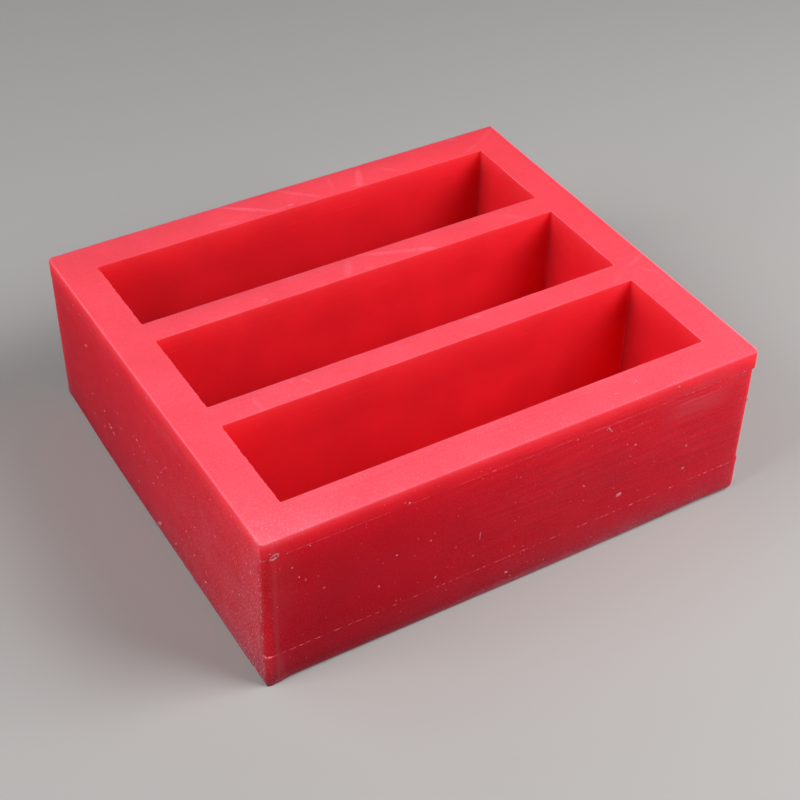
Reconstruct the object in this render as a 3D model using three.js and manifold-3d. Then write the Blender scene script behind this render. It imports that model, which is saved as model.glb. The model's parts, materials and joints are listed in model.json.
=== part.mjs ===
// Silicone soap mould: a thick-walled block with long rectangular cavities side by side.
//
// The block is built up in lifts that are bonded face to face, and the joints between the lifts
// show as fine witness lines all round the sides:
//   base_slab   the solid floor under the cavities
//   wall_block  the outer walls and the dividers, from the floor up to the rim
//   top_rim     the last lift, which gives the walls and dividers their flat top face
//
// Millimetres, +Z up. X runs along the cavities and Y across them. The origin is the middle of the
// underside, so the mould stands on the plane z = 0.

import * as THREE from 'three';
import { mergeVertices } from 'three/addons/utils/BufferGeometryUtils.js';
import Module from 'manifold-3d';

// ---- driving dimensions ----------------------------------------------------------------------

const LENGTH = 255; // outer size along the cavities
const HEIGHT = 85; // underside to rim
const END_WALL = 18.75; // wall across each end of the cavities
const SIDE_WALL = 19; // wall along the outer side of the first and last cavity
const DIVIDER = 14.5; // wall between two cavities
const CAVITY_WIDTHS = [54, 53.5, 51.5]; // from the -Y side to the +Y side

const BASE_HEIGHT = 18; // floor thickness, up to the lower witness line
const RIM_HEIGHT = 9.5; // last lift, down to the upper witness line

const RIM_CORNER = 2.5; // radius of the vertical outer corners in each lift
const WALL_CORNER = 5;
const BASE_CORNER = 3.25;
const CAVITY_CORNER = 0.8; // radius of the vertical corners inside a cavity
const FOOT_EDGE = 3; // rounding of the outer bottom edge
const FOOT_EDGE_STEPS = 4;
const ARC_SEGMENTS = 8; // facets in a quarter circle

// ---- derived sizes ---------------------------------------------------------------------------

const CAVITIES_ACROSS = CAVITY_WIDTHS.reduce((sum, width) => sum + width, 0);
const DIVIDERS_ACROSS = DIVIDER * (CAVITY_WIDTHS.length - 1);
const WIDTH = CAVITIES_ACROSS + DIVIDERS_ACROSS + 2 * SIDE_WALL;
const CAVITY_LENGTH = LENGTH - 2 * END_WALL;
const WALL_HEIGHT = HEIGHT - BASE_HEIGHT - RIM_HEIGHT;

// ---- material --------------------------------------------------------------------------------

function redSilicone(name) {
  const material = new THREE.MeshStandardMaterial({
    color: 0xc8202f,
    roughness: 0.48,
    metalness: 0,
  });
  material.name = name;
  return material;
}

// ---- outlines --------------------------------------------------------------------------------

// A rectangle with rounded corners, centred on (centreX, centreY), drawn into a Shape or a Path.
function traceRoundedRectangle(path, centreX, centreY, sizeX, sizeY, radius) {
  const left = centreX - sizeX / 2;
  const right = centreX + sizeX / 2;
  const low = centreY - sizeY / 2;
  const high = centreY + sizeY / 2;
  path.moveTo(left + radius, low);
  path.lineTo(right - radius, low);
  path.absarc(right - radius, low + radius, radius, -Math.PI / 2, 0, false);
  path.lineTo(right, high - radius);
  path.absarc(right - radius, high - radius, radius, 0, Math.PI / 2, false);
  path.lineTo(left + radius, high);
  path.absarc(left + radius, high - radius, radius, Math.PI / 2, Math.PI, false);
  path.lineTo(left, low + radius);
  path.absarc(left + radius, low + radius, radius, Math.PI, (3 * Math.PI) / 2, false);
  return path;
}

function outerOutline(cornerRadius, inset = 0) {
  const sizeX = LENGTH - 2 * inset;
  const sizeY = WIDTH - 2 * inset;
  return traceRoundedRectangle(new THREE.Shape(), 0, 0, sizeX, sizeY, cornerRadius - inset);
}

// One closed path for each cavity mouth, stepping across the block from its -Y side.
function cavityOutlines() {
  let low = -WIDTH / 2 + SIDE_WALL;
  return CAVITY_WIDTHS.map((width) => {
    const centreY = low + width / 2;
    low += width + DIVIDER;
    return traceRoundedRectangle(new THREE.Path(), 0, centreY, CAVITY_LENGTH, width, CAVITY_CORNER);
  });
}

// ---- solids ----------------------------------------------------------------------------------

const wasm = await Module();
wasm.setup();

function toManifold(geometry) {
  const bare = geometry.index ? geometry.toNonIndexed() : geometry.clone();
  bare.deleteAttribute('normal');
  bare.deleteAttribute('uv');
  const merged = mergeVertices(bare);
  return new wasm.Manifold(
    new wasm.Mesh({
      numProp: 3,
      vertProperties: Float32Array.from(merged.attributes.position.array),
      triVerts: Uint32Array.from(merged.index.array),
    }),
  );
}

function toGeometry(manifold) {
  const mesh = manifold.getMesh();
  const geometry = new THREE.BufferGeometry();
  geometry.setAttribute('position', new THREE.BufferAttribute(mesh.vertProperties, 3));
  geometry.setIndex(new THREE.BufferAttribute(mesh.triVerts, 1));
  geometry.computeVertexNormals();
  return geometry;
}

// The floor: a plain slab whose outer bottom edge is rounded. The slab is extruded with that
// rounding at both ends, and the upper one is cut away at the lower witness line.
function baseSlab() {
  const block = new THREE.ExtrudeGeometry(outerOutline(BASE_CORNER, FOOT_EDGE), {
    depth: BASE_HEIGHT,
    bevelEnabled: true,
    bevelThickness: FOOT_EDGE,
    bevelSize: FOOT_EDGE,
    bevelSegments: FOOT_EDGE_STEPS,
    curveSegments: ARC_SEGMENTS,
  });
  block.translate(0, 0, FOOT_EDGE);
  const above = new THREE.BoxGeometry(2 * LENGTH, 2 * WIDTH, HEIGHT);
  above.translate(0, 0, BASE_HEIGHT + HEIGHT / 2);
  return toGeometry(toManifold(block).subtract(toManifold(above)));
}

// A lift of the walls: the outer outline with a hole for each cavity, extruded straight up.
function wallLift(cornerRadius, height) {
  const outline = outerOutline(cornerRadius);
  outline.holes.push(...cavityOutlines());
  return new THREE.ExtrudeGeometry(outline, {
    depth: height,
    bevelEnabled: false,
    curveSegments: ARC_SEGMENTS,
  });
}

// ---- the mould -------------------------------------------------------------------------------

function lift(name, geometry, bottom) {
  const mesh = new THREE.Mesh(geometry, redSilicone('silicone'));
  mesh.name = name;
  mesh.position.z = bottom;
  return mesh;
}

const mould = new THREE.Group();
mould.name = 'soap_mould';
mould.add(
  lift('base_slab', baseSlab(), 0),
  lift('wall_block', wallLift(WALL_CORNER, WALL_HEIGHT), BASE_HEIGHT),
  lift('top_rim', wallLift(RIM_CORNER, RIM_HEIGHT), BASE_HEIGHT + WALL_HEIGHT),
);

export default mould;
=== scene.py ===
"""The looks of a red silicone soap mould: a thick block with three long cavities, cast in lifts."""

import json
import random
from math import atan2, cos, hypot, pi, radians, sin

import bpy
import numpy as np
from mathutils import Matrix, Vector, geometry, noise


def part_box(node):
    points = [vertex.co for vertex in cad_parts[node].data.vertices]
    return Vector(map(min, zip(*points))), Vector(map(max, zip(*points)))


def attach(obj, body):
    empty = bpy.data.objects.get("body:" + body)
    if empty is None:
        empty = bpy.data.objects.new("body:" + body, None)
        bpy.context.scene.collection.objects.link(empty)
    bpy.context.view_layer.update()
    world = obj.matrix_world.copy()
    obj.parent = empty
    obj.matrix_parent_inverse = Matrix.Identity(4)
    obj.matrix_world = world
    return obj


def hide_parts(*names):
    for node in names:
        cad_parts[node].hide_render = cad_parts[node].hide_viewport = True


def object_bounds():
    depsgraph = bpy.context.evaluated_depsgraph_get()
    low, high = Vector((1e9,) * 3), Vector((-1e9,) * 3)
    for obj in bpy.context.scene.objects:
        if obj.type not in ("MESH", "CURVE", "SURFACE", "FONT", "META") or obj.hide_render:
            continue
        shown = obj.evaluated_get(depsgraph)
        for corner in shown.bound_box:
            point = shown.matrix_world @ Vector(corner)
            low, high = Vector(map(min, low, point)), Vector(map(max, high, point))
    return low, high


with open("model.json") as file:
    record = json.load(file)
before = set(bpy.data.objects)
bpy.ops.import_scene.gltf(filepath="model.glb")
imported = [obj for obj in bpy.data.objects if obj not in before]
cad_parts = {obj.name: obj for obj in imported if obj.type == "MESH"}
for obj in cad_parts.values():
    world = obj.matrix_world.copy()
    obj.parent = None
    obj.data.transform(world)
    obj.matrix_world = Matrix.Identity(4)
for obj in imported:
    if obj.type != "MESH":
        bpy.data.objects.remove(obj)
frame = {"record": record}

CAD_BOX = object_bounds()
MM = 0.001

# ---- sizes taken from the frame ----

BASE_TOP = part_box("base_slab")[1].z
RIM_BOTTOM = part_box("top_rim")[0].z
LOW, HIGH = CAD_BOX
CENTRE = (LOW + HIGH) / 2
LENGTH, WIDTH, HEIGHT = HIGH - LOW
TOP = HIGH.z
OPENINGS = [opening["box_m"] for opening in frame["record"]["physics"]["openings"]]
OPENING_CLEARANCE = Vector((0.25 * MM, 0.3 * MM))  # from a stated opening to the cavity's walls

# ---- sizes of the fine shape, in metres ----

# Corners in plan, from the near left one anticlockwise.
BASE_CORNERS = np.array([3.25, 3.9, 3.25, 3.0]) * MM
WALL_CORNERS = np.array([5.0, 4.8, 5.0, 3.2]) * MM
RIM_CORNERS = np.array([2.5, 2.5, 0.8, 2.5]) * MM
CAVITY_CORNER = 0.8 * MM

CORNER_REACH = 7.0 * MM  # stations on the flat outer sides keep this far from a corner
CORNER_SPAN = 3.0 * MM  # how far round the outline a corner's arc counts on each side
CAVITY_REACH = 3.0 * MM
TOP_EDGE = 0.7 * MM  # rounding of the outer top edge
EDGE_FADE = 0.5 * MM  # width of flat top beside an edge's rounding over which its paleness fades
MOUTH_EDGE = 0.12 * MM  # rounding of the cavities' top edges
LIP_REACH = 1.8 * MM  # how far from a mouth the top face still loses its translucency
FLOOR_EDGE = 2.0 * MM  # fillet round a cavity's floor
SKIN = 0.2 * MM  # the nominal surface lies this far inside the CAD outline, so that relief fits in
SKIN_LOSS = 0.85  # how much of that is lost at the near corner's foot and along the far side
SKIN_REACH, FOOT_REACH = 22 * MM, 10 * MM
NEAR_CUT = 0.2 * MM  # how much nearer each cavity starts than its stated opening
FAR_CUTS = (0.3 * MM, 0.1 * MM, -0.15 * MM)  # how much further each one reaches
LEFT_CUTS = (0.0, 0.0, 0.4 * MM)  # how much further left each one starts
RIGHT_CUT = 0.05 * MM  # how much further right each one ends

SIDE_PITCH = 2.2 * MM
ROW_PITCH = 3.0 * MM
FINE_PITCH = 0.55 * MM
FILL_PITCH = 5.0 * MM
SEAM_STEPS = np.array([0.02, 0.1, 0.22, 0.45, 0.9]) * MM  # rows on each side of a seam
# Rows under the lower seam: mm below it, and how much of the right corner's bulge each one has.
BULGE_STEPS = ((1.9, 0.2), (1.3, 0.6), (0.9, 0.9), (0.45, 1), (0.22, 1), (0.1, 0.95), (0.02, 0.9))

# Rounding of the bottom edge, in mm, at distances in mm round the outline from the near corner:
# along the front, up the right side, back along the far side and down the left side.
FOOT_ROUNDING = (
    (-12, 1.6), (-2, 2.2), (-0.5, 0.4), (5, 0.4), (12, 2.8), (60, 2.6), (127, 1.8), (186, 2.6),
    (234, 4.4), (251, 3.6), (259, 3.6), (275, 3.2), (481, 3.2), (736, 3.4), (849, 1.9), (940, 1.2),
    (950, 1.6),
)
FOOT_FLARE = 2.3 * MM  # how much sharper the near corner's foot is than the corner above it
SEAM_BULGE = 0.6 * MM  # how much sharper the right corner is just under the lower seam
LEAN = 1.15 * MM  # how far the far left corner leans in at its foot
LEAN_REACH = 40 * MM
WAVER = ((40 * MM, 0.11 * MM), (9 * MM, 0.03 * MM))  # size and height of the skin's unevenness
SEAM_LOW, SEAM_RISE = -0.2 * MM, 1.8 * MM  # the lower seam's height off the slab's, left to right
TOP_SAG = 0.12 * MM  # unevenness of the top face
TEETH_SIZE, TEETH_DEPTH, TEETH_FADE = 0.9 * MM, 0.42 * MM, 7 * MM
NICK_SIZE, NICK_DEPTH = 3.5 * MM, 0.07 * MM
WALL_WAVE_SIZE, WALL_WAVE = 25 * MM, 0.06 * MM

# How pale the edges are on the sides that face -Y, +X, +Y and -X: painted highlights along the
# top edges and the mouths, and pale lines of flash and dust along the seams.
TOP_EDGE_HIGHLIGHT = (0.10, 0.75, 0.50, 0.35)
MOUTH_EDGE_HIGHLIGHT = (0.30, 0.50, 0.15, 0.30)
SEAM_PALENESS = (0.34, 0.30, 0.30, 0.18)
LEDGE_PALENESS = 0.6  # added at the near corner, where the lower seam is a ledge
EDGE_LINE = 0.15 * MM  # rows this close to a seam carry its paleness

# How much of each side's seams carries flash, in the same order.
LOWER_FLASH = (0.9, 0.6, 0.6, 0.2)
UPPER_FLASH = (0.9, 0.6, 0.6, 0.15)


# ---- noise ----


def rough(points, size, seed):
    """Smooth noise from about -1 to 1 at each point, with bumps of about that size."""
    shift = Vector((seed * 7.31, seed * 3.17, seed * 5.53))
    return np.array([noise.noise(Vector(p) / size + shift) for p in points])


def waver(points):
    return sum(height * rough(points, size, seed) for seed, (size, height) in enumerate(WAVER, 1))


# ---- outlines ----

SIDES = [np.array(v, float) for v in ((0, -1), (1, 0), (0, 1), (-1, 0))]


class Outline:
    """Stations round a rectangle with rounded corners, anticlockwise from its low corner.

    Each station has an anchor on the sharp rectangle, the way it moves for each metre of corner
    radius, its outward normal, its distance round the outline and its nearest corner.
    """

    def __init__(self, low, high, reach, pitches, corner_steps):
        corners = [(low[0], low[1]), (high[0], low[1]), (high[0], high[1]), (low[0], high[1])]
        corners = [np.array(c, float) for c in corners]
        anchors, bends, normals, travels, nearest = [], [], [], [], []
        travelled = 0.0
        for side in range(4):
            start, end = corners[side], corners[(side + 1) % 4]
            length = np.linalg.norm(end - start)
            for distance in spread(reach, length - reach, pitches[side]):
                anchors.append(start + (end - start) * distance / length)
                bends.append(np.zeros(2))
                normals.append(SIDES[side])
                travels.append(travelled + distance)
                nearest.append(side if distance < length / 2 else (side + 1) % 4)
            travelled += length
            here, after = SIDES[side], SIDES[(side + 1) % 4]
            for turn in np.linspace(0, 1, corner_steps + 1):
                normal = here * cos(turn * pi / 2) + after * sin(turn * pi / 2)
                anchors.append(end)
                bends.append(normal - here - after)
                normals.append(normal)
                travels.append(travelled + (2 * turn - 1) * CORNER_SPAN)
                nearest.append((side + 1) % 4)
        self.anchor = np.array(anchors)
        self.bend = np.array(bends)
        self.normal = np.array(normals)
        self.corner = np.array(nearest)
        travel = np.array(travels)
        self.travel = np.where(travel > travelled - 2 * CORNER_SPAN, travel - travelled, travel)

    def __len__(self):
        return len(self.anchor)

    def ring(self, height, radius, inset=0.0):
        """The stations with one height, radius and inset for all, or one for each."""
        height, radius, inset = (np.broadcast_to(v, len(self))[:, None] for v in (height, radius, inset))
        flat = self.anchor + self.bend * radius - self.normal * inset
        return np.hstack([flat, height])


def spread(low, high, pitch):
    """Evenly spaced values from low to high, about a pitch apart."""
    return np.linspace(low, high, max(2, round((high - low) / pitch) + 1))


# ---- meshes ----


class Shell:
    """A closed mesh under construction: rings joined by strips, and flat fills between rings."""

    def __init__(self):
        self.points = []
        self.faces = []
        self.layers = {"inside": [], "edge": [], "lip": []}
        self.count = 0

    def add(self, points, inside=0.0, edge=0.0, lip=0.0):
        """Adds points and returns their numbers.

        inside is 1 in a cavity, edge says how pale the silicone is there, with painted highlights along
        the top edges and mouths and pale lines along the seams, and lip how much of its translucency it
        loses beside a cavity's mouth.
        """
        first = self.count
        self.points.append(np.asarray(points, float))
        self.count += len(points)
        for name, value in (("inside", inside), ("edge", edge), ("lip", lip)):
            self.layers[name].append(np.broadcast_to(value, len(points)).astype(float))
        return np.arange(first, self.count)

    def strip(self, rings, outward=True):
        """Quads between each ring of point numbers and the next, which lies above it."""
        for lower, upper in zip(rings, rings[1:]):
            quads = np.stack([lower, np.roll(lower, -1), np.roll(upper, -1), upper], axis=1)
            self.faces.extend((quads if outward else quads[:, ::-1]).tolist())

    def fill(self, outer, holes, height, upward=True, pitch=FILL_PITCH, inside=0.0):
        """A flat face between an outer ring and the rings of its holes, in even triangles."""
        points = np.concatenate(self.points)
        loops = [np.asarray(loop) for loop in (outer, *holes)]
        edges, numbers = [], []
        for loop in loops:
            first = len(numbers)
            numbers.extend(loop.tolist())
            edges.extend((first + i, first + (i + 1) % len(loop)) for i in range(len(loop)))
        polygons = [points[loop][:, :2] for loop in loops]
        border = points[numbers][:, :2]
        inner = lattice(polygons, pitch)
        inner_numbers = self.add(np.column_stack([inner, np.full(len(inner), height)]), inside)
        numbers = np.concatenate([numbers, inner_numbers])
        flat = [Vector(p) for p in np.concatenate([border, inner])]
        places, _, triangles, origins, _, _ = geometry.delaunay_2d_cdt(flat, edges, [], 0, 1e-9)
        middles = np.array([np.mean([places[i][:] for i in t], axis=0) for t in triangles])
        for triangle, kept in zip(triangles, between(middles, polygons)):
            if kept:
                face = [int(numbers[origins[i][0]]) for i in triangle]
                self.faces.append(face if upward else face[::-1])

    def mesh(self, name, settle=lambda points: points):
        made = bpy.data.meshes.new(name)
        points = settle(np.concatenate(self.points))
        points = np.clip(points, np.array(LOW), np.array(HIGH))
        made.from_pydata(points.tolist(), [], self.faces)
        made.update()
        return made


def within(points, polygon):
    """Which points lie inside a polygon."""
    inside = np.zeros(len(points), bool)
    x, y = points[:, 0], points[:, 1]
    for (ax, ay), (bx, by) in zip(polygon, np.roll(polygon, -1, axis=0)):
        if ay != by:
            crosses = (ay > y) != (by > y)
            inside ^= crosses & (x < (bx - ax) * (y - ay) / (by - ay) + ax)
    return inside


def between(points, polygons):
    """Which points lie inside the first polygon and outside the others."""
    kept = within(points, polygons[0])
    for polygon in polygons[1:]:
        kept &= ~within(points, polygon)
    return kept


def lattice(polygons, pitch):
    """Points on a grid between the polygons, clear of their edges."""
    border = np.concatenate(polygons)
    low, high = border.min(0), border.max(0)
    steps = [np.arange(low[k] + pitch / 2, high[k], pitch) for k in range(2)]
    grid = np.stack(np.meshgrid(*steps), -1).reshape(-1, 2)
    grid = grid[between(grid, polygons)]
    gap = np.array([np.abs(border - p).max(1).min() for p in grid])
    return grid[gap > pitch * 0.35]


def write_layer(mesh, name, values):
    layer = mesh.attributes.new(name, "FLOAT", "POINT")
    layer.data.foreach_set("value", values.astype(np.float32))


def add_object(name, data):
    """A new object in the scene, of a mesh, a lamp or a camera."""
    made = bpy.data.objects.new(name, data)
    bpy.context.scene.collection.objects.link(made)
    return made


def add_piece(name, mesh, material):
    """A piece of the mould that rides on its one body."""
    piece = add_object(name, mesh)
    mesh.materials.append(material)
    mesh.shade_smooth()
    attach(piece, "root")
    return piece


# ---- the cast skin ----


def lower_seam_height(points):
    """Height of the lower seam, which climbs from the left end to the right one."""
    return BASE_TOP + SEAM_LOW + SEAM_RISE * (points[:, 0] - LOW.x) / LENGTH


def upper_seam_height(points):
    """Height of the upper seam, which is level."""
    return np.full(len(points), RIM_BOTTOM)


def foot_rounding(outline):
    distances, sizes = np.array(FOOT_ROUNDING).T * MM
    return np.interp(outline.travel, distances, sizes)


def closeness(travel, centre, reach):
    """1 at one distance round the outline, fading to 0 beyond a reach."""
    whole = 2 * (LENGTH + WIDTH)
    gap = (travel - centre + whole / 2) % whole - whole / 2
    return np.exp(-((gap / reach) ** 2))


def by_side(outline, amounts):
    """An amount for each station out of those of the sides that face -Y, +X, +Y and -X."""
    return np.clip(outline.normal @ np.array(SIDES).T, 0, 1) ** 2 @ np.array(amounts)


def outer_rows(outline):
    """(height, corner radius, inset, edge) of each outer ring, from the floor to the top face."""
    rounding, seam = foot_rounding(outline), lower_seam_height(outline.anchor)
    base, wall, rim = (corners[outline.corner] for corners in (BASE_CORNERS, WALL_CORNERS, RIM_CORNERS))
    near_corner = closeness(outline.travel, 0.0, 5 * MM)
    base = base - FOOT_FLARE * near_corner * 0.3
    broken = np.clip(0.4 + 1.8 * rough(outline.ring(0.0, 0.0), 6 * MM, 12), 0, 1)
    line = by_side(outline, SEAM_PALENESS) * broken
    ledge = line + LEDGE_PALENESS * near_corner
    # painted highlight along the top edge, by side
    top_edge = by_side(outline, TOP_EDGE_HIGHLIGHT)
    rows = []

    # the rolled bottom edge
    for angle in np.linspace(0, pi / 2, 7):
        inset = rounding * (1 - sin(angle)) * 0.9
        flare = FOOT_FLARE * near_corner * 0.6 * (1 - sin(angle))
        rows.append((rounding * (1 - cos(angle)), base + inset * 0.6 - flare, inset, 0.0))

    # the base layer, with its bulge under the lower seam
    below = seam - SEAM_STEPS[-1] - 2.4 * MM
    for share in np.linspace(0, 1, 5)[1:]:
        rows.append((rounding + (below - rounding) * share, base, 0.0, 0.0))
    bulge = np.where(outline.corner == 1, SEAM_BULGE, 0.0)
    for gap, swell in BULGE_STEPS:
        rows.append((seam - gap * MM, base - bulge * swell, 0.0, ledge * (gap * MM < EDGE_LINE)))

    # the walls
    rows.extend((seam + gap, wall, 0.0, ledge * (gap < EDGE_LINE)) for gap in SEAM_STEPS)
    start, end = seam + SEAM_STEPS[-1], RIM_BOTTOM - SEAM_STEPS[-1]
    for share in spread(0, 1, ROW_PITCH / (RIM_BOTTOM - BASE_TOP))[1:-1]:
        rows.append((start + (end - start) * share, wall, 0.0, 0.0))
    rows.extend((RIM_BOTTOM - gap, wall, 0.0, line * (gap < EDGE_LINE)) for gap in SEAM_STEPS[::-1])

    # the rim and its rounded top edge, which carries a painted highlight
    rows.extend((RIM_BOTTOM + gap, rim, 0.0, line * (gap < EDGE_LINE)) for gap in SEAM_STEPS)
    for height in spread(RIM_BOTTOM + SEAM_STEPS[-1], TOP - TOP_EDGE, ROW_PITCH)[1:]:
        rows.append((height, rim, 0.0, 0.0))
    for angle in np.linspace(0, pi / 2, 6)[1:]:
        inset = TOP_EDGE * (1 - cos(angle))
        height = TOP - TOP_EDGE * (1 - sin(angle))
        rows.append((height, rim + inset * 0.75, inset, top_edge * sin(angle)))
    inset = TOP_EDGE + EDGE_FADE
    rows.append((TOP, rim + inset * 0.75, inset, 0.0))
    return rows


def give(travel, points):
    """How far inside the CAD outline the skin lies at points so far round the outline."""
    height = points[:, 2]
    near = closeness(travel, 0.0, SKIN_REACH) * np.exp(-((height / FOOT_REACH) ** 2))
    far_right, far_left = LENGTH + WIDTH, 2 * LENGTH + WIDTH
    along = (far_right - SKIN_REACH, far_right, far_left - SKIN_REACH, far_left)
    lost = SKIN_LOSS * (near + np.interp(travel, along, (0, 1, 1, 0)))
    leaning = LEAN * closeness(travel, far_left, LEAN_REACH)
    return SKIN * (1 - lost) + leaning * (TOP - height) / HEIGHT + waver(points)


def cavity_rectangles():
    """Each cavity's low and high corner in plan."""
    found = []
    for (low, high), left_cut, far_cut in zip(OPENINGS, LEFT_CUTS, FAR_CUTS):
        near_left = Vector(low[:2]) - OPENING_CLEARANCE - Vector((left_cut, NEAR_CUT))
        far_right = Vector(high[:2]) + OPENING_CLEARANCE + Vector((RIGHT_CUT, far_cut))
        found.append((near_left, far_right))
    return found


def cavity_rows(outline):
    """(height, corner radius, inset, edge) of each ring of a cavity; a negative inset widens it."""
    patches = np.clip(0.7 + 1.8 * rough(outline.ring(0.0, 0.0), 9 * MM, 14), 0.1, 2)
    # painted highlight along the mouth, in patches
    edge = by_side(outline, MOUTH_EDGE_HIGHLIGHT) * patches
    rows = []
    for angle in np.linspace(0, pi / 2, 6):
        inset = FLOOR_EDGE * (1 - sin(angle))
        rows.append((BASE_TOP + FLOOR_EDGE * (1 - cos(angle)), CAVITY_CORNER + inset, inset, 0.0))
    for height in spread(BASE_TOP + FLOOR_EDGE, TOP - MOUTH_EDGE - EDGE_FADE, ROW_PITCH)[1:]:
        rows.append((height, CAVITY_CORNER, 0.0, 0.0))
    for angle in np.linspace(0, pi / 2, 5):
        widening = MOUTH_EDGE * (1 - cos(angle))
        rows.append((TOP - MOUTH_EDGE * (1 - sin(angle)), CAVITY_CORNER, -widening, edge))
    rows.append((TOP, CAVITY_CORNER, -MOUTH_EDGE - EDGE_FADE, 0.0))
    rows.append((TOP, CAVITY_CORNER, -MOUTH_EDGE - LIP_REACH, 0.0))
    return rows


def cavity_relief(outline, height):
    """How far each station of a cavity moves into the silicone at one height."""
    points = outline.ring(0.0, CAVITY_CORNER)
    fade = np.exp(-(TOP - height) / TEETH_FADE)
    left = np.clip(-2 * outline.normal[:, 0] - 1, 0, 1)
    teeth = TEETH_DEPTH * left * rough(points, TEETH_SIZE, 5)
    nicks = NICK_DEPTH * rough(points, NICK_SIZE, 6)
    level = points + np.array([0, 0, height])
    return (teeth + nicks) * fade + WALL_WAVE * rough(level, WALL_WAVE_SIZE, 7)


def settle(points):
    """The top face's slight unevenness."""
    near_top = np.clip(1 - (TOP - points[:, 2]) / (6 * MM), 0, 1)
    flat = points * np.array([1, 1, 0])
    sag = TOP_SAG * (0.5 + 0.5 * rough(flat, 30 * MM, 8)) + 0.02 * MM * rough(flat, 6 * MM, 9)
    return points - np.outer(sag * near_top, [0, 0, 1])


def cast_mould():
    """The whole casting as one closed skin."""
    shell = Shell()
    outline = Outline(LOW.xy, HIGH.xy, CORNER_REACH, [SIDE_PITCH] * 4, 10)
    rings = []
    for height, radius, inset, edge in outer_rows(outline):
        sunk = inset + give(outline.travel, outline.ring(height, radius, inset))
        rings.append(shell.add(outline.ring(height, radius, sunk), edge=edge))
    shell.strip(rings)
    shell.fill(rings[0], (), LOW.z, upward=False, pitch=3 * FILL_PITCH)
    mouths = []
    for low, high in cavity_rectangles():
        cavity = Outline(low, high, CAVITY_REACH, [SIDE_PITCH, SIDE_PITCH, SIDE_PITCH, FINE_PITCH], 4)
        made = []
        for height, radius, inset, edge in cavity_rows(cavity):
            relief = cavity_relief(cavity, height)
            ring = cavity.ring(height, radius, inset - relief)
            lip = np.clip(1 - max(0.0, -inset) / LIP_REACH, 0, 1) * (height > TOP - 2 * MOUTH_EDGE)
            made.append(shell.add(ring, inside=float(height < TOP), edge=edge, lip=lip))
        shell.strip(made, outward=False)
        shell.fill(made[0], (), BASE_TOP, upward=True, pitch=3 * FILL_PITCH, inside=1.0)
        mouths.append(made[-1])
    shell.fill(rings[-1], mouths, TOP, upward=True)
    mesh = shell.mesh("mould_cast", settle)
    for name, values in shell.layers.items():
        write_layer(mesh, name, np.concatenate(values))
    paint(mesh, np.concatenate(shell.layers["inside"]))
    return mesh


# ---- flash and blemishes ----


def into_box(points):
    """The points moved together, just far enough to lie within the CAD box."""
    flat = np.asarray(points, float).reshape(-1, 3)
    too_high = np.maximum(flat.max(0) - np.array(HIGH), 0)
    too_low = np.maximum(np.array(LOW) - flat.min(0), 0)
    return np.asarray(points, float) - too_high + too_low


def bead(shell, centres, outs, ups, widths, heights, around=6):
    """A closed bead along some centres, with half sizes along its outs and ups.

    An out crossed with its up points back along the bead.
    """
    turns = np.arange(around) * 2 * pi / around
    loops = []
    for centre, out, up, width, height in zip(centres, outs, ups, widths, heights):
        loops.append([centre + out * width * cos(t) + up * height * sin(t) for t in turns])
    loops = into_box(loops)
    rings = [shell.add(loop) for loop in loops]
    shell.strip(rings, outward=False)
    for ring, loop, last in ((rings[0], loops[0], False), (rings[-1], loops[-1], True)):
        tip = int(shell.add([loop.mean(0)])[0])
        for here, after in zip(ring.tolist(), np.roll(ring, -1).tolist()):
            shell.faces.append([after, here, tip] if last else [here, after, tip])


def seam_flash(name, level, corners, seed, width, amounts, material):
    """Broken slivers of flash round the outside at one seam, some amount of them on each side."""
    outline = Outline(LOW.xy, HIGH.xy, 1.5 * CORNER_SPAN, [0.5 * MM] * 4, 12)
    amount = by_side(outline, amounts)
    draw = random.Random(seed)
    heights = level(outline.anchor) + 0.12 * MM * rough(outline.ring(0, 0), 9 * MM, seed)
    plain = outline.ring(heights, corners[outline.corner])
    line = outline.ring(heights, corners[outline.corner], give(outline.travel, plain) + 0.02 * MM)
    patches = rough(line, 30 * MM, seed + 20)
    outs = np.column_stack([outline.normal, np.zeros(len(outline))])
    up = np.array([0, 0, 1.0])
    shell = Shell()
    start = 0
    while start < len(line) - 12:
        count = draw.randint(3, 8)
        present = draw.random() < amount[start] * (0.8 + patches[start])
        if present:
            run = slice(start, start + count)
            swell = np.sin(np.linspace(0.25, pi - 0.25, count)) * draw.uniform(0.5, 1.0)
            jitter = np.array([draw.uniform(0.75, 1.25) for _ in range(count)])
            sizes = width * swell * jitter
            bead(shell, line[run], outs[run], [up] * count, sizes * 0.8, sizes)
        start += count + draw.randint(0 if present else 1, 3)
    return add_piece(name, shell.mesh(name), material)


# Blemishes on the outer faces, in mm: distance from the face's left end as seen from outside,
# depth below the top, length, width, and the tilt of the length from level in degrees.
FRONT_BLEMISHES = (
    (182, 56, 3, 2.4, 20), (106, 45.5, 5.2, 0.45, 88), (172.2, 12.3, 4.6, 0.7, -55),
    (170.9, 11.2, 2.4, 0.5, 40), (121.6, 76, 1.9, 1.4, -30), (188, 28, 1.3, 0.9, 0),
    (161, 41, 1.6, 0.7, -40), (219, 42, 1.2, 0.9, 30), (219, 56, 1.6, 1.3, 0), (83.5, 60, 1.3, 0.9, 50),
    (55, 51, 1.4, 0.8, -50), (28.5, 38, 1.1, 0.8, 0), (20, 29, 1, 0.8, 0), (67, 7.6, 1, 0.7, 20),
    (69.3, 8.6, 1, 0.8, 0), (14, 19, 0.9, 0.7, 0), (80.5, 36, 1.1, 0.8, 0), (63.5, 36.5, 1.1, 0.7, 0),
    (17, 26, 0.8, 0.6, 0), (209, 2.6, 1.3, 0.7, -20), (252.5, 28, 1.4, 1, 80),
)
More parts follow.
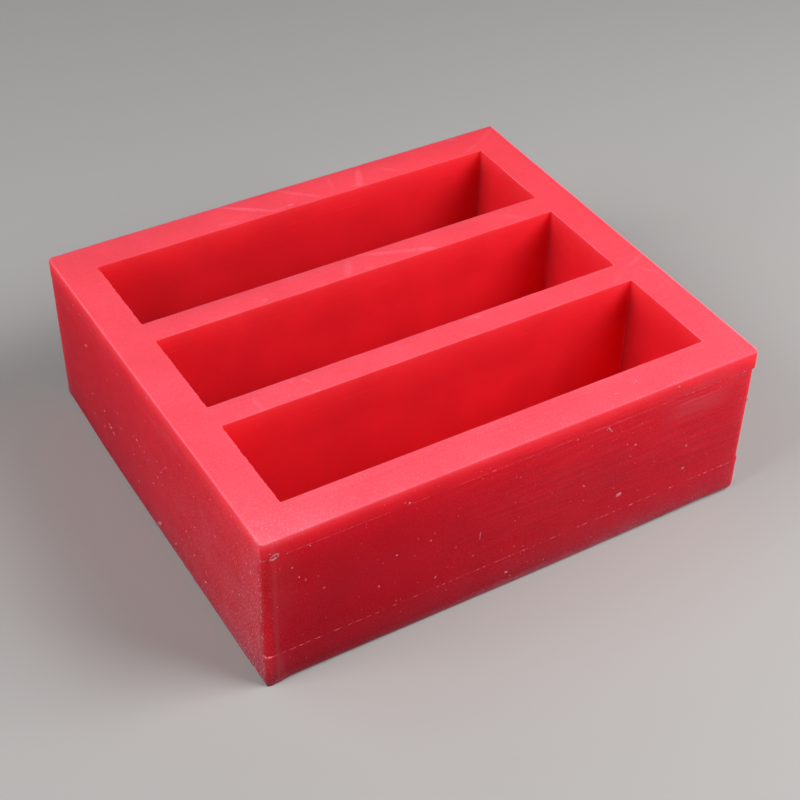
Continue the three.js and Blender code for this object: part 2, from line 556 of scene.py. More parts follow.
LEFT_BLEMISHES = (
    (42, 25, 3.4, 1.4, 35), (64, 60, 3.4, 1.3, 25), (117, 79, 3.6, 1.8, 70), (215.6, 24, 2.6, 0.8, 75),
    (159, 46, 2.2, 0.6, 45), (116, 3.6, 2.4, 0.6, 40), (125, 48, 2, 0.5, 50), (98, 42, 2.2, 0.8, 0),
    (181, 33, 1.8, 0.5, 50), (149, 57, 2.4, 0.5, 45), (95, 70, 2.6, 0.6, 40), (179, 13, 2.6, 0.4, 35),
    (57.5, 54.3, 2.4, 0.8, 40), (42.5, 54.3, 2.2, 0.7, 40), (55, 66, 2.2, 0.8, 35),
    (92.5, 55, 2, 0.5, 40), (114, 56, 2.8, 1, 35), (120, 47.5, 1.6, 0.7, 40), (125, 40.5, 1.8, 0.5, 50),
    (76, 42, 1.4, 0.6, 30), (135, 77, 2.8, 0.8, 50), (156, 66, 1.8, 0.7, 35), (167, 73.5, 1.6, 1, 20),
    (30.5, 8.5, 1.6, 0.6, 20), (38.5, 8.8, 1.6, 0.6, 20), (81.7, 14.5, 2, 0.5, 40),
    (67.5, 61, 2.2, 1, -20), (62.5, 59, 1.8, 0.9, 30), (101, 43.5, 1.6, 0.6, 20),
    (106, 43, 1.2, 0.5, 30), (110, 45, 1.4, 0.6, 40), (115, 80.5, 2, 1.4, 80), (119, 77, 2.2, 0.9, 70),
    (148, 18, 2, 0.5, 45), (131, 33, 1.8, 0.5, 45), (128, 36, 1.4, 0.5, 45),
)

# On the top face: x and y from the near left corner, length, width and tilt.
TOP_BLEMISHES = (
    (126.5, 15.7, 1, 0.7, 10), (179.5, 7.7, 1.2, 0.9, 30), (192.5, 10.7, 0.9, 0.6, 60),
    (191, 10, 0.6, 0.5, 0), (206.7, 4.8, 1, 0.6, 40), (163.7, 3.3, 0.9, 0.6, 60), (3.7, 3, 1, 0.8, 0),
    (16.2, 1.4, 0.9, 0.6, 0), (27, 1.5, 0.7, 0.5, 0), (9, 6, 0.6, 0.5, 0), (146, 81.5, 0.8, 0.5, 40),
    (190, 74.5, 0.7, 0.5, 60),
)


def blemishes(material):
    """Chips, lint and grit on the silicone, and the open bubble beside the near corner."""
    down = np.array([0, 0, -1.0])
    faces, travel = [], 0.0
    starts = ((LOW.x, LOW.y), (HIGH.x, LOW.y), (HIGH.x, HIGH.y), (LOW.x, HIGH.y))
    for start, out, span in zip(starts, SIDES, (LENGTH, WIDTH, LENGTH, WIDTH)):
        level = np.array([-out[1], out[0], 0.0])
        faces.append((np.array([*start, TOP]), level, down, np.array([*out, 0.0]), travel))
        travel += span
    front, right, back, left = faces
    top = (np.array([LOW.x, LOW.y, TOP]), np.array([1.0, 0, 0]), np.array([0, 1.0, 0]), -down, None)
    draw = random.Random(11)
    shell = Shell()

    def stick(face, along, depth, length, width, tilt):
        corner, level, fall, out, travel = face
        middle = corner + (level * along + fall * depth) * MM
        sunk = TOP_SAG * 0.7 if travel is None else give(travel + along * MM, middle[None])[0]
        middle = middle - out * sunk
        turn = radians(tilt)
        ahead = level * cos(turn) - fall * sin(turn)
        across = np.cross(out, ahead)
        steps = np.linspace(-1, 1, 6)
        wander = [0.12 * width * draw.uniform(-1, 1) * MM for _ in steps]
        centres = [middle + ahead * length * MM / 2 * s + across * w for s, w in zip(steps, wander)]
        sizes = np.sqrt(1.04 - steps**2) * width * MM / 2
        proud = np.minimum(sizes * 0.5, 0.16 * MM)
        bead(shell, centres, [out] * 6, [across] * 6, proud, sizes)

    for face, listed in ((front, FRONT_BLEMISHES), (left, LEFT_BLEMISHES), (top, TOP_BLEMISHES)):
        for row in listed:
            stick(face, *row)
    scatter = ((front, LENGTH, 150), (left, WIDTH, 150), (right, WIDTH, 60), (back, LENGTH, 70))
    for face, span, count in scatter:  # small grains, most of the left face's near its near end
        for _ in range(count):
            along = draw.uniform(4, span / MM - 4)
            if face is left and draw.random() < 0.5:
                along = span / MM - abs(draw.gauss(0, 40)) - 3
            depth = draw.uniform(1, HEIGHT / MM - 5)
            size = draw.uniform(0.16, 0.34) if draw.random() < 0.75 else draw.uniform(0.34, 0.56)
            stick(face, along, depth, size * draw.uniform(1, 2.2), size, draw.uniform(-80, 80))
    margin = Vector((MM, MM))
    openings = [(low - margin, high + margin) for low, high in cavity_rectangles()]
    for _ in range(160):
        x, y = draw.uniform(2, LENGTH / MM - 2), draw.uniform(1.5, WIDTH / MM - 1.5)
        px, py = LOW.xy + Vector((x, y)) * MM
        if any(low.x < px < high.x and low.y < py < high.y for low, high in openings):
            continue
        size = draw.uniform(0.16, 0.4)
        stick(top, x, y, size * draw.uniform(1, 2), size, draw.uniform(-80, 80))
    bubble(shell, front)
    return add_piece("surface_blemishes", shell.mesh("surface_blemishes"), material)


def bubble(shell, face):
    """The raised lip of an open bubble, a closed ring, and the lump inside it."""
    corner, level, _, out, travel = face
    up = np.array([0, 0, 1.0])
    centre = corner + level * 6.0 * MM - up * 9.0 * MM
    centre = centre - out * give(travel + 6.0 * MM, centre[None])[0]
    ahead = level * cos(radians(20)) + up * sin(radians(20))
    across = np.cross(out, ahead)
    loops = []
    for turn in np.linspace(0, 2 * pi, 20, endpoint=False):
        spoke = ahead * cos(turn) * 1.9 * MM + across * sin(turn) * 1.15 * MM
        outward = spoke / np.linalg.norm(spoke)
        middle = centre + spoke
        lip = [(cos(t), sin(t)) for t in np.arange(6) * pi / 3]
        swell = (0.36 + 0.12 * sin(2 * turn + 1)) * MM
        loops.append([middle + outward * swell * c + out * 0.17 * MM * s for c, s in lip])
    rings = [shell.add(loop) for loop in into_box(loops)]
    shell.strip([*rings, rings[0]], outward=False)
    steps = np.linspace(-1, 1, 5)
    lump = [centre + (ahead * 0.7 * s - across * 0.25) * MM for s in steps]
    sizes = np.sqrt(1.05 - steps**2) * 0.5 * MM
    bead(shell, lump, [out] * 5, [across] * 5, np.minimum(sizes, 0.14 * MM), sizes)


# ---- materials ----

# Colour of the silicone at depths in mm below the top, with painted light in it: a painted glow
# stands in for light that enters through the top face and leaves again through the walls near it,
# so that they brighten towards the rim; a painted shadow line runs under the rim outside, and
# painted shade darkens the walls towards the bottom.
OUTER_PAINTED_SHADES = (
    (0.3, (0.93, 0.056, 0.084)), (2, (0.93, 0.033, 0.056)), (5, (0.88, 0.013, 0.03)),
    (9, (0.81, 0.0062, 0.0225)), (9.9, (0.76, 0.0046, 0.019)), (12, (0.76, 0.0044, 0.019)),
    (20, (0.7, 0.0032, 0.0165)), (40, (0.62, 0.0048, 0.019)),
    (60, (0.575, 0.0024, 0.0145)), (76, (0.5, 0.0065, 0.022)),
)
INNER_PAINTED_SHADES = (
    (0.3, (0.94, 0.048, 0.068)), (2, (0.94, 0.037, 0.054)), (5, (0.92, 0.0265, 0.043)),
    (10, (0.88, 0.019, 0.033)), (20, (0.805, 0.015, 0.028)), (66, (0.795, 0.015, 0.029)),
)
# Painted sheen on the top face: paler and pinker towards its near left corner, fading towards the far
# right one.
NEAR_TOP_PAINTED_SHEEN = (0.98, 0.108, 0.158)
FAR_TOP_PAINTED_SHEEN = (0.885, 0.0585, 0.084)
# Colour of the painted highlights along the top edges and mouths, also of the pale seam lines and the
# light strokes on the top.
EDGE_SHADE = (1.0, 0.21, 0.28)
DARK_STROKE = (0.90, 0.055, 0.085)
DUST = (0.80, 0.48, 0.60)
GRAIN_SHADE = (0.86, 0.56, 0.63)
# Near black, painted into two pits as their shadow.
PIT_SHADOW_COLOUR = (0.03, 0.008, 0.01)
# What the colour is multiplied by in the top's scratches, the clouds and the front's streaks.
SCRATCH_TINT = (0.99, 0.92, 0.92)
CLOUD_TINT = (0.91, 0.86, 0.86)
STREAK_TINT = (0.82, 0.72, 0.76)
RIM_LINE = 10.3 * MM  # mean depth, with its wobble, of the fine line that runs round under the rim
LINE_WIDTH = 0.3 * MM

TORN_SHADES = (0.68, 0.050, 0.080), (0.78, 0.28, 0.33)
GRIT_SHADES = (0.66, 0.14, 0.18), (0.76, 0.42, 0.45)

# Streaks and smears, in mm: middle, half size, strength.
FRONT_STREAKS = (
    ((219, 0, 14.2), (16, 3, 0.9), 0.06), ((189, 0, 16.5), (11, 3, 1.2), 0.035),
    ((225, 0, 10.5), (34, 3, 9), 0.05), ((222, 0, 20), (26, 3, 9), 0.05),
)
FRONT_SMEARS = (
    ((5.8, 0, 40), (1.5, 3, 60), 0.026), ((10, 0, 24), (9, 3, 34), 0.01),
    ((7, 0, 78), (2.8, 3, 16), 0.028),
)
# Middle and half size of the strip by the near corner where the dust is rubbed off, and of two
# pits, painted dark as the shadow in their hollows.
CLEAN_STRIP = ((2.2, 0, 40), (2.8, 4, 60))
PIT_SHADOWS = (((0, 2.2, 70), (3, 0.55, 1.0)), ((0, 7.0, 73.5), (3, 0.6, 0.9)))
STROKE_SPREAD = 1.55  # how much longer a stroke on the top is with its fading ends
# Strokes, in mm: from x, y to x, y, width, strength, which is below 0 for a dark one.
TOP_STROKES = (
    (92.5, 224.3, 115, 208.5, 2, 0.4), (124.2, 224.3, 141.7, 208.5, 2, 0.28),
    (152, 222.7, 150, 211, 1.6, 0.16), (170, 221.8, 163.3, 208.5, 2.8, 0.34),
    (180, 217.7, 188.3, 211, 2, 0.14), (122.5, 209.8, 126, 209.8, 1.6, 0.55),
    (119.2, 142.2, 125.8, 153, 2.8, 0.32), (135, 153.8, 169.2, 141.3, 2, 0.3),
    (212.5, 149.7, 221.7, 142.2, 2.4, 0.22), (74.5, 144.9, 77.5, 144.5, 2.4, 0.35),
    (39.2, 83.8, 38.6, 79, 1.5, 0.28), (38.2, 80, 39.6, 74.7, 1.6, 0.28),
    (58, 85.5, 59.5, 85, 1.8, 0.35), (64, 84.5, 66, 81, 1.8, 0.3), (155, 84.8, 157, 84.6, 1.8, 0.35),
    (241.7, 83, 255, 88.8, 1.8, 0.2), (246.7, 78, 252.5, 71.3, 1.8, 0.18),
    (228, 74.7, 235, 81.3, 2.4, 0.16), (40, 13.4, 165, 13.6, 0.5, -0.45),
    (35, 12.6, 95, 12.7, 0.4, -0.45), (84, 211, 94, 209.6, 1.8, 0.2),
    (113, 209.6, 121, 209.2, 1.4, 0.22), (160, 209.8, 166, 209, 1.6, 0.35),
    (228, 209, 240, 214.5, 1.8, 0.16), (243, 216, 254, 224, 2, 0.14), (50, 143.2, 62, 143, 1.4, 0.18),
    (36, 145, 40, 141.5, 1.4, 0.2), (130, 144, 134, 143.2, 1.8, 0.22),
    (161, 145, 168, 142.6, 2.2, 0.26), (37, 73.4, 41, 73.2, 1.4, 0.3), (64, 74.5, 67, 73.4, 1.2, 0.25),
    (150, 85.5, 158, 85.2, 1.2, 0.22), (143, 75, 148, 74, 1.4, 0.16), (185, 73.6, 196, 74.2, 1.2, 0.16),
    (226, 224, 231, 223, 1.4, 0.25),
)


class Value:
    """What a material's nodes work out, for use in sums and products."""

    def __init__(self, make, socket):
        self.make, self.socket = make, socket

    def __add__(self, other):
        return self.make.maths("ADD", self, other)

    def __mul__(self, other):
        return self.make.maths("MULTIPLY", self, other)

    def __rsub__(self, other):
        return self.make.maths("SUBTRACT", other, self)

    __radd__, __rmul__ = __add__, __mul__


class Nodes:
    """Short ways to add nodes to a material."""

    def __init__(self, name):
        self.material = bpy.data.materials.new(name)
        self.material.use_nodes = True
        self.tree = self.material.node_tree

    def feed(self, sockets, values):
        """Gives each socket its constant, or its link from another node."""
        for name, value in values.items():
            if isinstance(value, Value):
                self.tree.links.new(value.socket, sockets[name])
            else:
                sockets[name].default_value = value

    def add(self, kind, inputs, output=0, **settings):
        """One output of a new node with these inputs and settings."""
        node = self.tree.nodes.new(kind)
        for key, value in settings.items():
            setattr(node, key, value)
        self.feed(node.inputs, inputs)
        return Value(self, node.outputs[output])

    def surface(self, values):
        """The finished material, with these values for its shader."""
        self.feed(self.tree.nodes["Principled BSDF"].inputs, values)
        return self.material

    def maths(self, operation, first, second=0.0, clamp=False):
        inputs = {0: first, 1: second}
        return self.add("ShaderNodeMath", inputs, operation=operation, use_clamp=clamp)

    def position(self):
        return self.add("ShaderNodeTexCoord", {}, "Object")

    def split(self, vector):
        return [self.add("ShaderNodeSeparateXYZ", {0: vector}, axis) for axis in range(3)]

    def length(self, vector):
        return self.add("ShaderNodeVectorMath", {0: vector}, "Value", operation="LENGTH")

    def noise(self, size, detail=2.0, roughness=0.5):
        """Noise from 0 to 1 with bumps of a size in metres, or a size along each axis."""
        sizes = size if isinstance(size, tuple) else (size,) * 3
        place = self.add("ShaderNodeVectorMath", {0: self.position(), 1: sizes}, operation="DIVIDE")
        inputs = {"Vector": place, "Scale": 1.0, "Detail": detail, "Roughness": roughness}
        return self.add("ShaderNodeTexNoise", inputs, "Fac")

    def attribute(self, name):
        return self.add("ShaderNodeAttribute", {}, "Fac", attribute_name=name)

    def between(self, value, low, high):
        """0 below low, 1 above high, and a smooth step between."""
        inputs = {"Value": value, "From Min": low, "From Max": high}
        return self.add("ShaderNodeMapRange", inputs, interpolation_type="SMOOTHSTEP")

    def ramp(self, factor, stops):
        made = self.add("ShaderNodeValToRGB", {0: factor})
        elements = made.socket.node.color_ramp.elements
        for element, (place, colour) in zip(elements, (stops[0], stops[-1])):
            element.position, element.color = place, (*colour, 1)
        for place, colour in stops[1:-1]:
            elements.new(place).color = (*colour, 1)
        return made

    def mix(self, factor, first, second, blend="MIX"):
        first, second = ((*c, 1) if isinstance(c, tuple) else c for c in (first, second))
        inputs = {0: factor, 6: first, 7: second}
        return self.add("ShaderNodeMix", inputs, 2, data_type="RGBA", blend_type=blend)

    def tint(self, factor, colour, by):
        """The colour multiplied by another, as far as the factor says."""
        return self.mix(factor, colour, by, "MULTIPLY")

    def bump(self, height, distance, strength=1.0, below=None):
        """A bumped normal, on top of the one below if there is one."""
        inputs = {"Strength": strength, "Distance": distance, "Height": height}
        if below:
            inputs["Normal"] = below
        return self.add("ShaderNodeBump", inputs)


def blob(make, middle, half, turn=0.0):
    """1 at a middle, in mm from the near left top corner with depth downwards, 0 beyond a half size."""
    x, y, depth = middle
    inputs = {
        "Vector": make.position(),
        "Location": (LOW.x + x * MM, LOW.y + y * MM, TOP - depth * MM),
        "Rotation": (0.0, 0.0, turn),
        "Scale": tuple(v * MM for v in half),
    }
    place = make.add("ShaderNodeMapping", inputs, vector_type="TEXTURE")
    return 1.0 - make.between(make.length(place), 0.35, 1.0)


class Skin(Nodes):
    """The cast silicone's nodes, with the values that several features share."""

    def __init__(self):
        super().__init__("cast_red_silicone")
        self.across, _, height = self.split(self.position())
        self.depth = TOP - height
        to_right, to_back, upwards = self.split(self.add("ShaderNodeNewGeometry", {}, "Normal"))
        self.to_left = self.between(to_right * -1.0, 0.80, 0.92)
        above_floors = self.between(height, BASE_TOP + 2 * MM, RIM_BOTTOM)
        self.on_top = self.between(upwards, 0.2, 0.8) * above_floors
        self.inside = self.attribute("inside")
        self.outside = 1.0 - self.inside
        self.outer_front = self.between(to_back * -1.0, 0.80, 0.92) * self.outside
        self.clean = blob(self, *CLEAN_STRIP) * self.outside
        self.streaks = self.noise((38 * MM, 38 * MM, 1.9 * MM), 2.0)

    def shade(self):
        """The silicone's colour by depth, outside and in the cavities, with its painted glow and shade.
        """
        share = self.maths("DIVIDE", self.depth, HEIGHT, clamp=True)
        shades = []
        for stops in (OUTER_PAINTED_SHADES, INNER_PAINTED_SHADES):
            shades.append(self.ramp(share, [(mm * MM / HEIGHT, colour) for mm, colour in stops]))
        return self.mix(self.inside, *shades)

    def with_top(self, colour):
        """Adds the top face with its painted sheen, its scratches and strokes, and the edges' painted
        highlights and pale seam lines.
        """
        scratches = self.between(self.noise((16 * MM, 0.6 * MM, 2 * MM), 3.0), 0.42, 0.62)
        # painted sheen, strongest at the top's near left corner
        top = self.mix(self.attribute("nearness"), FAR_TOP_PAINTED_SHEEN, NEAR_TOP_PAINTED_SHEEN)
        colour = self.mix(self.on_top, colour, self.tint(scratches, top, SCRATCH_TINT))
        wander = self.between(self.noise(1.6 * MM, 2.0), 0.25, 0.6) * 0.5 + 0.5
        for x, y, end_x, end_y, width, strength in TOP_STROKES:
            middle = ((x + end_x) / 2, (y + end_y) / 2, 0.0)
            half = (hypot(end_x - x, end_y - y) / 2 * STROKE_SPREAD, width, 3.0)
            stroke = blob(self, middle, half, atan2(end_y - y, end_x - x)) * self.on_top
            shade = EDGE_SHADE if strength > 0 else DARK_STROKE
            colour = self.mix(stroke * wander * abs(strength), colour, shade)
        # painted highlights along the top edges and mouths, and pale lines along the seams, whole near
        # the top and broken into dashes lower down
        dashes = self.between(self.noise((1.3 * MM, 1.3 * MM, 4 * MM), 1.0), 0.40, 0.56)
        dashes = self.maths("MAXIMUM", dashes, 1.0 - self.between(self.depth, 2 * MM, 4 * MM))
        return self.mix(self.attribute("edge") * dashes, colour, EDGE_SHADE)

    def with_painted_light(self, colour):
        """Adds the painted light and shade on the walls, and the clouding of the silicone."""
        painted_light = self.mix(self.to_left, self.attribute("painted_light"), self.attribute("left_painted_light"))
        brighter = self.clean * 0.35 * self.between(self.depth, 20 * MM, 60 * MM)
        colour = self.tint(1.0, self.tint(1.0, colour, painted_light), brighter + 1.0)
        clouds = self.between(self.noise(28 * MM, 3.0), 0.3, 0.7)
        return self.tint(clouds, colour, CLOUD_TINT)

    def streak(self):
        """Streaks of the former's grain on the front, mostly right of its middle."""
        reach = self.between(self.across, LOW.x + 70 * MM, LOW.x + 130 * MM)
        reach = reach * self.between(self.depth, 4 * MM, 8 * MM)
        reach = reach * (1.0 - self.between(self.depth, 50 * MM, 64 * MM))
        return self.between(self.streaks, 0.40, 0.60) * (reach * 0.8 + 0.2) * self.outer_front

    def bloom(self):
        """How much dust lies on the skin, before its patches and grains."""
        bloom = self.mix(self.to_left, self.attribute("dust"), self.attribute("left_dust"))
        return bloom * (1.0 - self.clean * 0.35)

    def dust(self, bloom):
        """The dust that lies evenly, in patches, smears and streaks."""
        dust = bloom * (self.between(self.noise(11 * MM, 3.0), 0.25, 0.8) * 0.5 + 0.45)
        smears = 0.0
        for middle, half, strength in FRONT_SMEARS:
            smears = smears + blob(self, middle, half) * strength
        for middle, half, strength in FRONT_STREAKS:
            streaked = self.between(self.streaks, 0.35, 0.6) * strength
            smears = smears + blob(self, middle, half) * streaked
        near_rim = self.between(self.depth, 2 * MM, 6 * MM)
        near_rim = near_rim * (1.0 - self.between(self.depth, 12 * MM, 24 * MM))
        on_left = near_rim * self.outside * self.to_left * self.between(self.streaks, 0.5, 0.68)
        gap = self.maths("ABSOLUTE", RIM_LINE - (self.depth + self.noise(14 * MM) * (1.2 * MM)))
        rim_line = 1.0 - self.between(gap, LINE_WIDTH * 0.3, LINE_WIDTH)
        rim_line = rim_line * self.between(self.noise(22 * MM), 0.4, 0.6)
        return dust + smears * self.outer_front + on_left * 0.025 + rim_line * 0.035

    def grains(self, bloom):
        """The dust that is gathered in grains."""
        grains = self.between(self.noise((0.8 * MM, 0.8 * MM, 1.2 * MM), 2.0, 0.6), 0.55, 0.67)
        amount = (bloom * 1.2 + self.to_left * (bloom * bloom * 15.0)) * (1.0 - self.on_top)
        fine = self.between(self.noise(0.6 * MM, 1.0), 0.52, 0.72)
        on_top = self.attribute("nearness") * 0.07 + (bloom + 0.024)
        fine = fine * self.mix(self.on_top, self.outer_front * 0.034, on_top)
        return grains * (amount + 0.01) * self.outside + fine


def silicone():
    """Red silicone, slightly translucent, with a bloom of dust, and painted glow, shade, sheen and
    highlights in its colour.
    """
    skin = Skin()
    streak, bloom = skin.streak(), skin.bloom()
    dust, grains = skin.dust(bloom), skin.grains(bloom)
    # pits painted dark as shadow, and kept opaque
    pit_shadows = sum(blob(skin, middle, half) for middle, half in PIT_SHADOWS)
    colour = skin.with_painted_light(skin.with_top(skin.shade()))
    colour = skin.tint(streak * 0.62, colour, STREAK_TINT)
    colour = skin.mix(grains, skin.mix(dust, colour, DUST), GRAIN_SHADE)
    # satin surface: broad unevenness, streaks and a fine grain
    roughness = skin.noise(6 * MM, 4.0) * 0.16 + 0.42
    fine = skin.bump(skin.noise(0.6 * MM, 2.0), 0.07 * MM, 0.6)
    broad = skin.bump(skin.noise(5 * MM, 3.0), 0.12 * MM, 0.5, fine)
    opaque = skin.attribute("lip") + pit_shadows
    return skin.surface({
        "Base Color": skin.mix(pit_shadows, colour, PIT_SHADOW_COLOUR),
        "Roughness": roughness + (dust + grains) * 0.8,
        "Normal": skin.bump(streak, 0.05 * MM, 0.6, broad),
        "Subsurface Weight": skin.maths("SUBTRACT", 1.0, opaque, clamp=True),
        "Subsurface Radius": (1.0, 0.35, 0.3),
        "Subsurface Scale": 8 * MM,
        "IOR": 1.41,
        "Specular IOR Level": 0.05,
    })


def pale(name, colour, whitest):
    """Torn silicone, or grit: paler than the skin."""
    make = Nodes(name)
    whiteness = make.between(make.noise(1.4 * MM, 3.0), 0.4, 0.8)
    return make.surface({
        "Base Color": make.mix(whiteness, colour, whitest),
        "Roughness": 0.6,
        "Specular IOR Level": 0.2,
        "Normal": make.bump(make.noise(0.4 * MM), 0.03 * MM),
    })


# Painted light and shade on the front and left walls, and the front's dust, at distances in mm
# from the front's left end and from the left side's near end.
FRONT_PAINTED_LIGHT = (
    (4, 12, 25, 60, 127, 190, 220, 240, 250),
    (0.88, 0.82, 0.8, 0.85, 0.97, 1.02, 1.04, 1.07, 1.06),
)
LEFT_PAINTED_LIGHT = (
    (4, 20, 40, 70, 113, 150, 180, 200, 215),
    (0.83, 0.835, 0.89, 0.91, 0.9, 0.85, 0.83, 0.82, 0.8),
)
FRONT_DUST = (
    (0, 3, 5, 12, 60, 100, 150, 190, 243, 252),
    (0.055, 0.04, 0.017, 0.004, 0.001, 0.006, 0.018, 0.019, 0.024, 0.052),
)
OTHER_PAINTED_LIGHT = 0.92  # painted light and shade on the right and back walls
# How much painted shade darkens the walls at their foot, where they meet the floor.
FOOT_PAINTED_SHADE = 0.36
FOOT_SHADE_REACH = (0, 3, 190, 235), (5.5, 7, 7, 5.5)  # how high the painted shade at the foot reaches along the front
TOP_SKIN = 1.2  # mm below the top that still counts as the top face


class Place:
    """Where each point of a mesh is, in mm."""

    def __init__(self, mesh):
        points = np.empty(len(mesh.vertices) * 3)
        mesh.vertices.foreach_get("co", points)
        x, y, self.height = (points.reshape(-1, 3) / MM).T
        self.across, self.back = x - LOW.x / MM, y - LOW.y / MM
        self.depth = TOP / MM - self.height
        self.right, self.far = self.across * MM / LENGTH, self.back * MM / WIDTH
        self.on_front = np.clip(1 - (self.back - 2) / 10, 0, 1)


def hump(value, middle, reach):
    """1 at a middle, falling off like a bell to either side."""
    return np.exp(-(((value - middle) / reach) ** 2))


def paint_outer_light(place):
    """Painted light and shade on the outer faces: for all of them, and for the left one."""
    fade = np.clip((place.depth - 3) / 20, 0, 1)
    wall = np.interp(place.across, *FRONT_PAINTED_LIGHT) * place.on_front + OTHER_PAINTED_LIGHT * (1 - place.on_front)
    # painted shade at the foot, deepest at the floor and more so at the near corner
    foot = 1 - FOOT_PAINTED_SHADE * hump(place.height, 0, np.interp(place.across, *FOOT_SHADE_REACH))
    near_corner = np.exp(-np.hypot(place.across, place.back) / 22 - place.height / 16)
    foot = foot * (1 - 0.12 * near_corner)
    # painted shade: the top darker along its right end, more so towards the back
    right_rim = (0.015 + 0.05 * place.far) * hump(place.across, LENGTH / MM, 7) * np.exp(-place.depth)
    painted_light = (1 - (1 - wall) * fade - right_rim) * foot
    left = 1 - (1 - np.interp(place.back, *LEFT_PAINTED_LIGHT)) * np.clip(place.depth / 9, 0, 1)
    # painted shade: the left face darker low down towards its near end
    left = left * (1 - 0.27 * np.exp(-place.back / 16 - place.height / 22))
    return painted_light, left * foot


def paint_inner_light(place):
    """Painted light and shade inside the cavities: on their walls, and on the end walls that look to -X.
    """
    deep = np.clip((place.depth - 8) / 20, 0, 1)
    in_middle, in_far = (place.back > 80) & (place.back < 145), place.back > 150
    # painted light: lighter towards the right end, short of the middle cavity's far wall; the far
    # cavity is painted a little darker, the middle one's right part a little lighter
    right_end = np.clip((place.across - 205) / 22, 0, 1) * (place.back < 140)
    painted_light = 1 + deep * (0.19 * right_end - 0.05 * in_far)
    painted_light = painted_light + 0.03 * deep * (in_middle & (place.across > 190))
    # painted shade: the end walls darker towards the cavities' far corners
    gaps = [(high[1] - LOW.y) / MM - place.back for _, high in OPENINGS]
    gap = np.min([np.where(g > -1, np.abs(g), 99) for g in gaps], axis=0)
    return painted_light, 1.05 - 0.24 * np.exp(-gap / 9) * np.clip(place.depth / 12, 0, 1)


def outer_dust(place):
    """How dusty the outer faces are: all of them, and the left one."""
    foot = hump(place.height, 0, 2.2)
    front = np.interp(place.across, *FRONT_DUST)
    front = front + (0.010 + 0.035 * place.right) * np.exp(-place.height / 8)
    front = front + (0.12 + 0.26 * place.right) * foot
    front = front + 0.05 * hump(place.height, 6, 3) * hump(place.across, 195, 40)
    walls = front * place.on_front + (0.03 + 0.12 * foot) * (1 - place.on_front)
    left = 0.079 * np.exp(-place.back / 105) * (0.64 + place.depth / 85) + 0.10 * foot
    left = left + 0.05 * np.exp(-place.back / 9) * np.clip(1 - place.depth / 65, 0, 1)
    left = left + 0.09 * np.exp((place.back - WIDTH / MM) / 5)
    top = 0.14 * hump(place.across, 0, 26) * hump(place.back, 0, 16) + 0.02 * np.exp(-place.back / 16)
    on_top = place.depth < TOP_SKIN
    return np.where(on_top, top, walls), np.where(on_top, top, left)


def paint(mesh, inside):
    """Writes the skin's painted light and shade, its nearness for the top's painted sheen, and how dusty
    it is, the faces that look to -X apart.
    """
    place = Place(mesh)
    (painted_light, left_painted_light), (inner_painted_light, end_painted_light) = paint_outer_light(place), paint_inner_light(place)
    write_layer(mesh, "painted_light", painted_light * (1 - inside) + inner_painted_light * inside)
    write_layer(mesh, "left_painted_light", left_painted_light * (1 - inside) + end_painted_light * inside)
    # nearness to the top's near left corner, which sets the top's painted sheen and some of its fine
    # dust
    write_layer(mesh, "nearness", np.clip(1 - 0.61 * place.far - 0.39 * place.right, 0, 1))
    dust, left_dust = outer_dust(place)
    end_haze = 0.022 * np.exp(-place.depth / 12)
    write_layer(mesh, "dust", dust * (1 - inside))
    write_layer(mesh, "left_dust", left_dust * (1 - inside) + end_haze * inside)


# ---- stage ----

CAMERA_TURN = radians(31.44)  # which way the camera looks, from +Y towards +X
CAMERA_TILT = radians(39.93)  # how far it looks down
CAMERA_ROLL = radians(1.32)
CAMERA_DISTANCE = 0.8285
CAMERA_LENS = 77.0
AIM_RIGHT = 4.13 * MM
AIM_UP = -12.72 * MM


def place_camera():
    flat = cos(CAMERA_TILT)
    ahead = Vector((sin(CAMERA_TURN) * flat, cos(CAMERA_TURN) * flat, -sin(CAMERA_TILT)))
    level = ahead.cross(Vector((0, 0, 1))).normalized()
    above = level.cross(ahead)
    right = level * cos(CAMERA_ROLL) + above * sin(CAMERA_ROLL)
    up = above * cos(CAMERA_ROLL) - level * sin(CAMERA_ROLL)
    data = bpy.data.cameras.new("camera")
    data.lens = CAMERA_LENS
    data.sensor_width = 36
    camera = add_object("camera", data)
    place = CENTRE + level * AIM_RIGHT + above * AIM_UP - ahead * CAMERA_DISTANCE
    turn = Matrix((right, up, -ahead)).transposed().to_4x4()
    camera.matrix_world = Matrix.Translation(place) @ turn
    bpy.context.scene.camera = camera


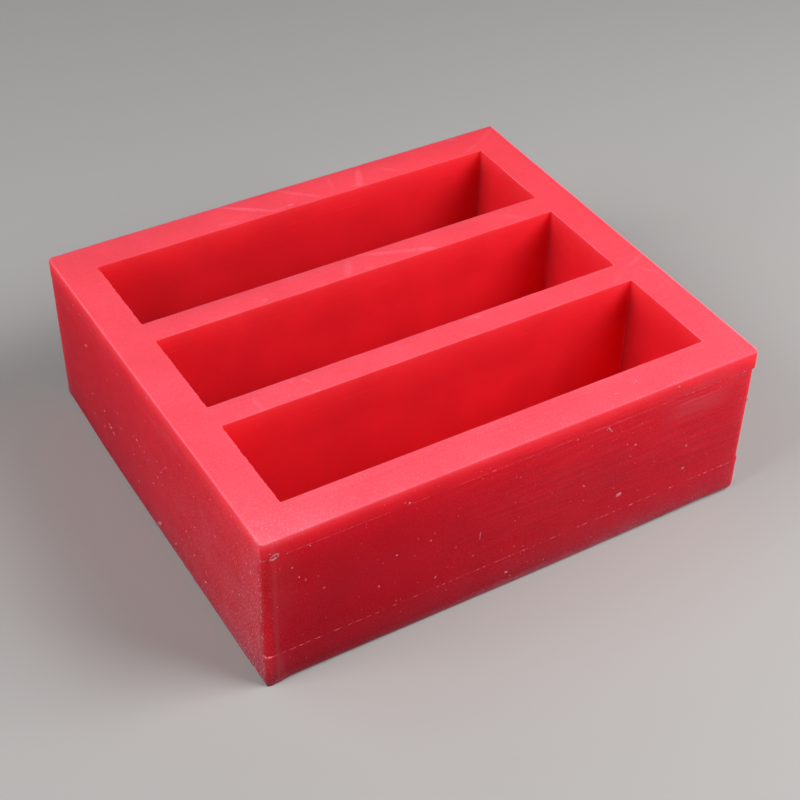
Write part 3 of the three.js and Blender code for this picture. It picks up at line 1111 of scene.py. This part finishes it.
def area_light(name, azimuth, elevation, distance, size, power):
    """A square lamp that faces the object; azimuth 0 is +X and 90 is +Y, in degrees."""
    data = bpy.data.lights.new(name, "AREA")
    data.size = size
    data.energy = power
    light = add_object(name, data)
    turn, climb = radians(azimuth), radians(elevation)
    towards = Vector((cos(turn) * cos(climb), sin(turn) * cos(climb), sin(climb)))
    light.location = CENTRE + towards * distance
    light.rotation_euler = towards.to_track_quat("Z", "Y").to_euler()


def light_stage():
    area_light("key", -41, 42, 1.15, 0.75, 14.8)
    area_light("left_fill", 180, 35, 1.5, 0.9, 14.4)
    area_light("back_fill", 135, 42, 1.7, 0.9, 3.4)
    world = bpy.data.worlds.new("studio")
    world.use_nodes = True
    background = world.node_tree.nodes["Background"].inputs
    background[0].default_value = (0.93, 0.97, 1.0, 1)
    background[1].default_value = 0.06
    bpy.context.scene.world = world
    bpy.context.scene.view_settings.view_transform = "Standard"


FLOOR_HALF = 30.0
FLOOR_SHADE = (0.42, 0.41, 0.40)
FAR_FLOOR_SHADE = (0.05, 0.05, 0.05)
FAR_GLOW = (0.39, 0.385, 0.38)  # what the floor shows beyond the lamps' reach
LAMPS_REACH = (0.85, 1.5)  # where the lamps' light starts to fade and where it has gone, in metres


def lay_floor():
    """A pale floor that stays pale beyond the lamps."""
    mesh = bpy.data.meshes.new("floor")
    corners = [(x * FLOOR_HALF, y * FLOOR_HALF, 0) for x, y in ((-1, -1), (1, -1), (1, 1), (-1, 1))]
    mesh.from_pydata(corners, [], [(0, 1, 2, 3)])
    make = Nodes("floor")
    far = make.between(make.length(make.position()), *LAMPS_REACH)
    mesh.materials.append(make.surface({
        "Base Color": make.mix(far, FLOOR_SHADE, FAR_FLOOR_SHADE),
        "Emission Color": (*FAR_GLOW, 1),
        "Emission Strength": far,
        "Roughness": 0.8,
    }))
    add_object("floor", mesh)


# ---- build ----

place_camera()
light_stage()
lay_floor()

cast = add_piece("mould_cast", cast_mould(), silicone())
cast.data.set_sharp_from_angle(angle=radians(50))
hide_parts("base_slab", "wall_block", "top_rim")

torn = pale("torn_silicone", *TORN_SHADES)
seam_flash("lower_seam_flash", lower_seam_height, BASE_CORNERS, 3, 0.26 * MM, LOWER_FLASH, torn)
seam_flash("upper_seam_flash", upper_seam_height, RIM_CORNERS, 4, 0.16 * MM, UPPER_FLASH, torn)
blemishes(pale("grit", *GRIT_SHADES))
